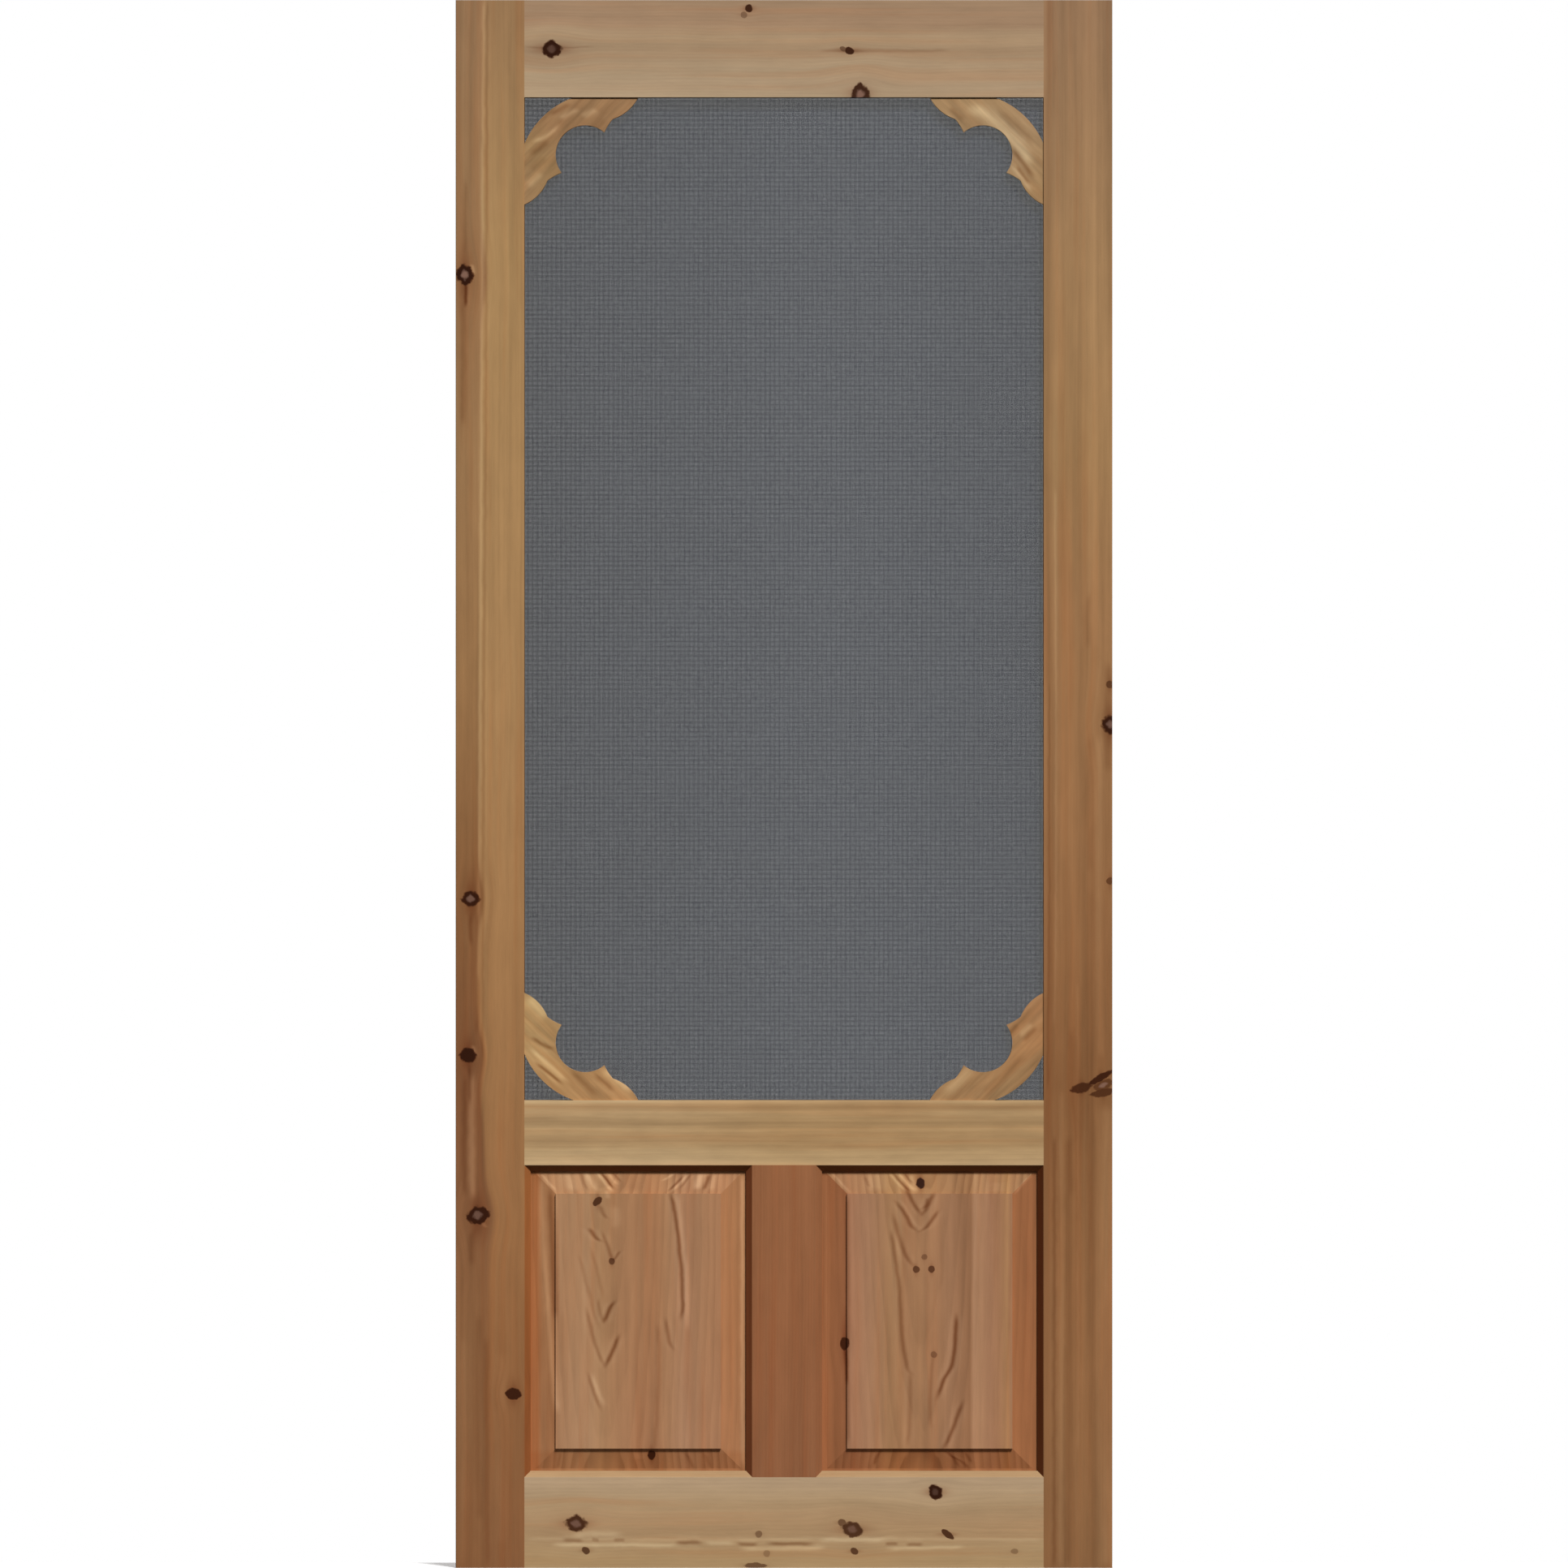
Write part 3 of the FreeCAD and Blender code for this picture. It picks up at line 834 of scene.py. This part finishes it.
RIGHT_PANEL = wood(
    "right_panel_wood",
    90,
    ((0, rgb(158, 115, 83)), (600, rgb(160, 117, 85))),
    seed=8.0,
    profile=(
        (466, 1.0), (512, (0.95, 0.92, 0.97)), (534, (1.06, 1.07, 1.12)), (552, (1.06, 1.09, 1.07)),
        (562, (1.05, 1.08, 1.0)), (574, (1.1, 1.15, 1.08)), (586, (1.02, 1.03, 0.98)),
        (600, (1.02, 1.03, 0.97)), (641, (0.95, 0.95, 0.95)), (649, (0.9, 0.88, 0.86)),
        (666, (0.86, 0.82, 0.78)), (671, (1.15, 1.2, 1.26)), (678, (1.09, 1.13, 1.16)),
        (694, (0.98, 0.97, 1.0)), (706, (0.95, 0.93, 0.9)), (716, (1.1, 1.12, 1.0)), (721, 1.0),
        (762, 1.0),
    ),
    # painted shade on the side and bottom bevels, painted light on the top bevel
    bevel_painted_shade=(0.9, 0.7, 0.55),
    top_bevel_painted_light=(1.0, 1.02, 0.9),
    lines=(
        (3.6, -0.75, ((583, 494), (593, 473), (604, 456))),
        (3.6, -0.75, ((620, 487), (613, 471), (604, 456))),
        (3.1, -0.6, ((612, 480), (609, 470), (604, 464))),
        (3.6, -0.75, ((570, 477), (584, 456), (591, 442), (600, 435))),
        (3.6, -0.75, ((625, 464), (615, 448), (608, 440), (600, 435))),
        (3.6, -0.6, ((567, 459), (576, 424), (585, 402), (596, 388))),
        (
            3.4,
            -0.6,
            ((564, 438), (571, 391), (575, 359), (578, 307), (582, 277), (585, 260), (592, 250)),
        ),
        (3.4, -0.35, ((590, 254), (589, 222), (588, 186), (585, 155))),
        (3.4, -0.95, ((649, 330), (648, 301), (643, 264), (632, 243), (624, 218))),
        (3.4, -0.8, ((657, 218), (649, 193), (640, 170), (630, 152))),
        (2.9, -0.35, ((619, 277), (616, 243), (615, 201), (617, 180))),
        (3.1, 0.35, ((577, 477), (588, 456), (596, 444), (602, 440))),
        (12.0, 0.35, ((545, 513), (545, 500), (545, 488))),
        (2.6, -0.40, ((530, 507), (533, 500), (536, 493))),
        (2.4, 0.60, ((560, 513), (572, 500), (584, 487))),
        (2.4, -0.70, ((566, 513), (577, 500), (589, 487))),
        (2.4, 0.80, ((572, 513), (582, 502), (594, 488))),
        (2.2, -0.50, ((579, 513), (586, 505), (592, 498))),
        (4.0, 0.90, ((590, 510), (593, 498), (597, 487))),
        (10.0, 0.20, ((702, 500), (702, 493), (702, 487))),
        # painted highlights along the mitres of the bevels at the two top corners
        (2.6, 0.60, ((486, 513), (498, 500), (511, 486))),
        (2.4, 0.60, ((747, 510), (736, 498), (724, 484))),
        # a painted shadow beside the field's left step
        (3.4, -0.45, ((508, 484), (508, 320), (508, 160))),
        (2.6, -0.7, ((505, 288), (506, 262), (507, 236))),
        (2.9, -0.6, ((550, 152), (545, 142), (542, 132))),
        (3.1, -0.6, ((634, 152), (646, 142), (652, 130))),
        (2.9, -0.5, ((640, 146), (655, 138), (665, 128))),
        (2.9, -0.5, ((660, 150), (668, 136))),
    ),
    knots=(
        (602.4, 501.2, 8.3, 6.2, 0.0, 1.0, 0.0, 12.0),
        (504.1, 292.0, 9.0, 6.3, 0.0, 0.85, 0.0, 34.0),
        (596.7, 387.6, 4.5, 4.5, 0.0, 0.6, 0.0, 8.0),
        (616.7, 387.6, 5.0, 4.5, 0.0, 0.65, 0.0, 8.0),
        (607.2, 403.4, 4.0, 4.0, 0.0, 0.35, 0.0, 6.0),
        (619.8, 277.1, 4.5, 4.5, 0.0, 0.35, 0.0, 6.0),
    ),
    pith=(-604.0, 62.0),
    pith_slope=-0.07,
    spacing=9.0,
    rings=0.1,
    grain_width=13.0,
    streaks=0.5,
    fines=0.0,
    bands=0.35,
)


def bracket_wood(name, angle, seed, tones, lines):
    """The bolder grain of a corner bracket."""
    return wood(
        name,
        angle,
        tones,
        seed=seed,
        lines=lines,
        pith=(1800.0, 60.0),
        spacing=13.0,
        grain_length=90.0,
        streaks=0.6,
        bands=0.4,
        mottles=0.7,
        wander=16.0,
        red=0.35,
    )


TOP_LEFT_BRACKET = bracket_wood(
    "top_left_bracket_wood",
    45,
    11.0,
    (
        (1330, rgb(163, 129, 90)),
        (1370, rgb(157, 124, 84)),
        (1410, rgb(151, 115, 79)),
        (1500, rgb(156, 120, 84)),
    ),
    (
        (3.0, 0.80, ((100, 1848), (121, 1858), (135, 1870))),
        (3.6, 0.77, ((135, 1878), (159, 1891))),
        (4.8, 0.61, ((163, 1881), (184, 1890))),
        (3.9, -0.48, ((121, 1883), (149, 1898))),
        (5.2, -0.40, ((96, 1832), (121, 1850))),
        (6.5, -0.25, ((96, 1811), (116, 1829))),
        (6.5, -0.20, ((176, 1863), (194, 1878))),
        (4.8, 0.46, ((93, 1790), (112, 1808))),
    ),
)
TOP_RIGHT_BRACKET = bracket_wood(
    "top_right_bracket_wood",
    -45,
    12.0,
    (
        (-896, rgb(168, 135, 96)),
        (-860, rgb(170, 137, 98)),
        (-790, rgb(163, 132, 96)),
        (-730, rgb(162, 129, 90)),
    ),
    (
        (8.4, 0.9, ((666, 1895), (711, 1866), (747, 1819))),
        (6.5, -0.3, ((703, 1890), (732, 1864), (748, 1843))),
        (3.9, -0.70, ((720, 1840), (737, 1819), (750, 1801))),
        (3.0, 0.77, ((717, 1819), (732, 1804), (747, 1785))),
        (3.2, -0.59, ((726, 1817), (745, 1793))),
        (5.2, -0.36, ((640, 1893), (660, 1876))),
    ),
)
BOTTOM_LEFT_BRACKET = bracket_wood(
    "bottom_left_bracket_wood",
    -45,
    13.0,
    (
        (-450, rgb(174, 140, 94)),
        (-400, rgb(169, 134, 90)),
        (-350, rgb(168, 129, 85)),
        (-278, rgb(167, 128, 86)),
    ),
    (
        (9.6, 0.6, ((92, 740), (121, 715))),
        (3.2, -0.70, ((97, 688), (112, 679), (128, 671))),
        (2.6, 0.80, ((96, 674), (122, 651), (147, 629))),
        (2.4, -0.80, ((103, 655), (121, 641), (139, 627))),
        (5.2, -0.48, ((149, 645), (173, 621), (184, 610))),
        (4.4, 1.00, ((192, 647), (212, 631), (229, 617))),
        (3.9, -0.48, ((180, 640), (205, 618))),
    ),
)
BOTTOM_RIGHT_BRACKET = bracket_wood(
    "bottom_right_bracket_wood",
    45,
    14.0,
    (
        (880, rgb(160, 125, 86)),
        (960, rgb(161, 124, 84)),
        (1020, rgb(158, 118, 79)),
        (1050, rgb(163, 121, 82)),
    ),
    (
        (3.6, 0.61, ((731, 689), (746, 706))),
        (3.9, -0.48, ((736, 682), (753, 701))),
        (7.2, 0.46, ((633, 614), (657, 635), (672, 650))),
        (6.5, -0.29, ((682, 614), (710, 638), (738, 666))),
        (5.2, -0.36, ((716, 690), (730, 704))),
    ),
)

BEAD_TONES = ((-100, rgb(164, 130, 94)), (2200, rgb(160, 124, 86)))
LEVEL_BEAD = wood("level_bead_wood", 0, BEAD_TONES, seed=9.0)
UPRIGHT_BEAD = wood("upright_bead_wood", 90, BEAD_TONES, seed=10.0)
FINISHES = {
    "left_stile": LEFT_STILE,
    "right_stile": RIGHT_STILE,
    "top_rail": TOP_RAIL,
    "lock_rail": LOCK_RAIL,
    "bottom_rail": BOTTOM_RAIL,
    "muntin": MUNTIN,
    "left_panel": LEFT_PANEL,
    "right_panel": RIGHT_PANEL,
    "top_bead": LEVEL_BEAD,
    "bottom_bead": LEVEL_BEAD,
    "left_bead": UPRIGHT_BEAD,
    "right_bead": UPRIGHT_BEAD,
    "top_left_bracket": TOP_LEFT_BRACKET,
    "top_right_bracket": TOP_RIGHT_BRACKET,
    "bottom_left_bracket": BOTTOM_LEFT_BRACKET,
    "bottom_right_bracket": BOTTOM_RIGHT_BRACKET,
}
BRACKET_EASE, FRAME_EASE = 1.2, 0.5  # how far sharp edges are rounded, in mm
EASED_ANGLE = 20  # edges that bend by more degrees than this are eased
for name, material in FINISHES.items():
    piece = nodes[name]
    piece.data.materials.clear()
    piece.data.materials.append(material)
    ease = piece.modifiers.new("eased edges", "BEVEL")
    ease.width = (BRACKET_EASE if name.endswith("bracket") else FRAME_EASE) * MM
    ease.segments = 2
    ease.limit_method = "ANGLE"
    ease.angle_limit = math.radians(EASED_ANGLE)
    ease.harden_normals = True


# Insect screen

PITCH = 1.27 * MM
YARN_WIDTH = 0.868 * MM
YARN_STRAY = 0.03 * MM  # how far a yarn lies from its place at most
YARN_SIDES = 6
YARN_COLOURS = ((0, rgb(26, 33, 44)), (1, rgb(32, 39, 50)))
YARN_ROUGHNESS = 0.6
YARN_SPECULAR = 0.2


def screen_material():
    """Charcoal vinyl-coated glass yarn."""
    material, tree, shader = new_material("screen_yarn")
    x, y, z = place_in_mm(tree)
    patch = noise((x, 90), (y, 1), (z, 90), detail=3.0)
    twist = noise((x, 0.4), (y, 0.4), (z, 0.4), detail=1.0)
    colour = patch.span(-0.3, 0.3).ramp(YARN_COLOURS)
    feed(tree, colour.scaled(twist.times_plus(0.3, 1.0)), shader.inputs["Base Color"])
    feed(tree, twist.times_plus(0.2, YARN_ROUGHNESS), shader.inputs["Roughness"])
    shader.inputs["Specular IOR Level"].default_value = YARN_SPECULAR
    bump(shader, twist, distance_mm=0.05, strength=0.3)
    return material


def add_yarn(build, run, step, ends, place, depth, half_depth):
    """A straight yarn of oval section. run is the axis along it, and step the one across it."""
    rings = []
    for end in ends:
        ring = []
        for corner in range(YARN_SIDES):
            turn = math.tau * corner / YARN_SIDES
            point = [0.0, depth + half_depth * math.sin(turn), 0.0]
            point[run] = end
            point[step] = place + YARN_WIDTH / 2 * math.cos(turn)
            ring.append(build.verts.new(point))
        rings.append(ring)
    near, far = rings
    for corner in range(YARN_SIDES):
        after = (corner + 1) % YARN_SIDES
        side = build.faces.new((near[corner], near[after], far[after], far[corner]))
        side.smooth = True
    build.faces.new(near)
    build.faces.new(far[::-1])


def woven_screen():
    """The insect screen as two layers of yarns, crosswise inside the solid sheet's thickness."""
    low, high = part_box("insect_screen")
    mesh = bpy.data.meshes.new("screen_weave")
    build = bmesh.new()
    half_depth = (high[1] - low[1]) / 4
    layers = (
        (0, 2, low[1] + half_depth),
        (2, 0, high[1] - half_depth),
    )
    for run, step, depth in layers:
        count = int((high[step] - low[step] - YARN_WIDTH) / PITCH)
        start = (low[step] + high[step]) / 2 - count * PITCH / 2
        for number in range(count + 1):
            place = start + number * PITCH + random.uniform(-YARN_STRAY, YARN_STRAY)
            add_yarn(build, run, step, (low[run], high[run]), place, depth, half_depth)
    bmesh.ops.recalc_face_normals(build, faces=build.faces)
    build.to_mesh(mesh)
    build.free()
    screen = bpy.data.objects.new("screen_weave", mesh)
    bpy.context.scene.collection.objects.link(screen)
    mesh.materials.append(screen_material())
    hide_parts("insect_screen")
    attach(screen, "root")


woven_screen()


# Stage, in metres

SKY_FILL, GROUND_FILL = 0.22, 0.03  # the light from above, on top of the light from all around
FLOOR_SHOWN, FLOOR_LIT = 0.85, 0.08  # how pale the floor looks, and how much light it gives back
FLOOR = ((-1.2, -1.0, 0), (2.05, -1.0, 0), (2.05, 0.12, 0), (-1.2, 0.12, 0))
PICTURE_WIDTH = 2.0321  # across the picture, at the front of the door
PICTURE_MIDDLE = (0.4255, -0.0143, 1.01595)
CAMERA_DISTANCE = 20.0
SENSOR_WIDTH = 36.0  # in mm


def sun(name, energy, towards, spread):
    """A distant lamp that shines in a direction, with its width in degrees."""
    light = bpy.data.lights.new(name, "SUN")
    light.energy = energy
    light.angle = math.radians(spread)
    lamp = bpy.data.objects.new(name, light)
    lamp.rotation_euler = Vector(towards).to_track_quat("-Z", "Y").to_euler()
    bpy.context.scene.collection.objects.link(lamp)


def shown(tree):
    """1 for what the camera sees, straight on or by way of gloss or glass, and 0 for lighting."""
    rays = tree.nodes.new("ShaderNodeLightPath")
    seen = Value(tree, rays.outputs["Is Camera Ray"])
    for other in ("Is Glossy Ray", "Is Transmission Ray"):
        seen = seen.highest(Value(tree, rays.outputs[other]))
    return seen


def studio_world(scene):
    """Surroundings that show white and give a weak light, most of it from above."""
    world = bpy.data.worlds.new("studio")
    scene.world = world
    world.use_nodes = True
    tree = world.node_tree
    background = tree.nodes["Background"]
    background.inputs["Color"].default_value = (1, 1, 1, 1)
    sky = tree.nodes.new("ShaderNodeTexCoord")
    height = split(tree, sky.outputs["Generated"])[2]
    fill = height.span(-0.2, 0.5).times_plus(SKY_FILL, GROUND_FILL)
    feed(tree, fill.highest(shown(tree)), background.inputs["Strength"])


def studio_floor(scene):
    """A floor that shows pale, and throws little light back at the door."""
    mesh = bpy.data.meshes.new("floor")
    mesh.from_pydata(FLOOR, [], [(0, 1, 2, 3)])
    floor = bpy.data.objects.new("floor", mesh)
    scene.collection.objects.link(floor)
    material, tree, shader = new_material("floor")
    colour = shown(tree).ramp(((0, grey(FLOOR_LIT)), (1, grey(FLOOR_SHOWN))))
    feed(tree, colour, shader.inputs["Base Color"])
    shader.inputs["Roughness"].default_value = 0.9
    mesh.materials.append(material)


def studio_camera(scene):
    """A distant camera, square to the front of the door."""
    camera = bpy.data.cameras.new("camera")
    camera.sensor_width = SENSOR_WIDTH
    camera.lens = SENSOR_WIDTH * CAMERA_DISTANCE / PICTURE_WIDTH
    camera.clip_end = 100.0
    viewer = bpy.data.objects.new("camera", camera)
    x, y, z = PICTURE_MIDDLE
    viewer.location = (x, y - CAMERA_DISTANCE, z)
    viewer.rotation_euler = (math.pi / 2, 0, 0)
    scene.collection.objects.link(viewer)
    scene.camera = viewer


def studio():
    scene = bpy.context.scene
    scene.view_settings.view_transform = "Standard"
    studio_world(scene)
    sun("key", energy=3.85, towards=(-0.4, 1.0, -1.05), spread=12)
    sun("back", energy=1.6, towards=(0.3, -1.0, -0.6), spread=40)
    studio_floor(scene)
    studio_camera(scene)


studio()
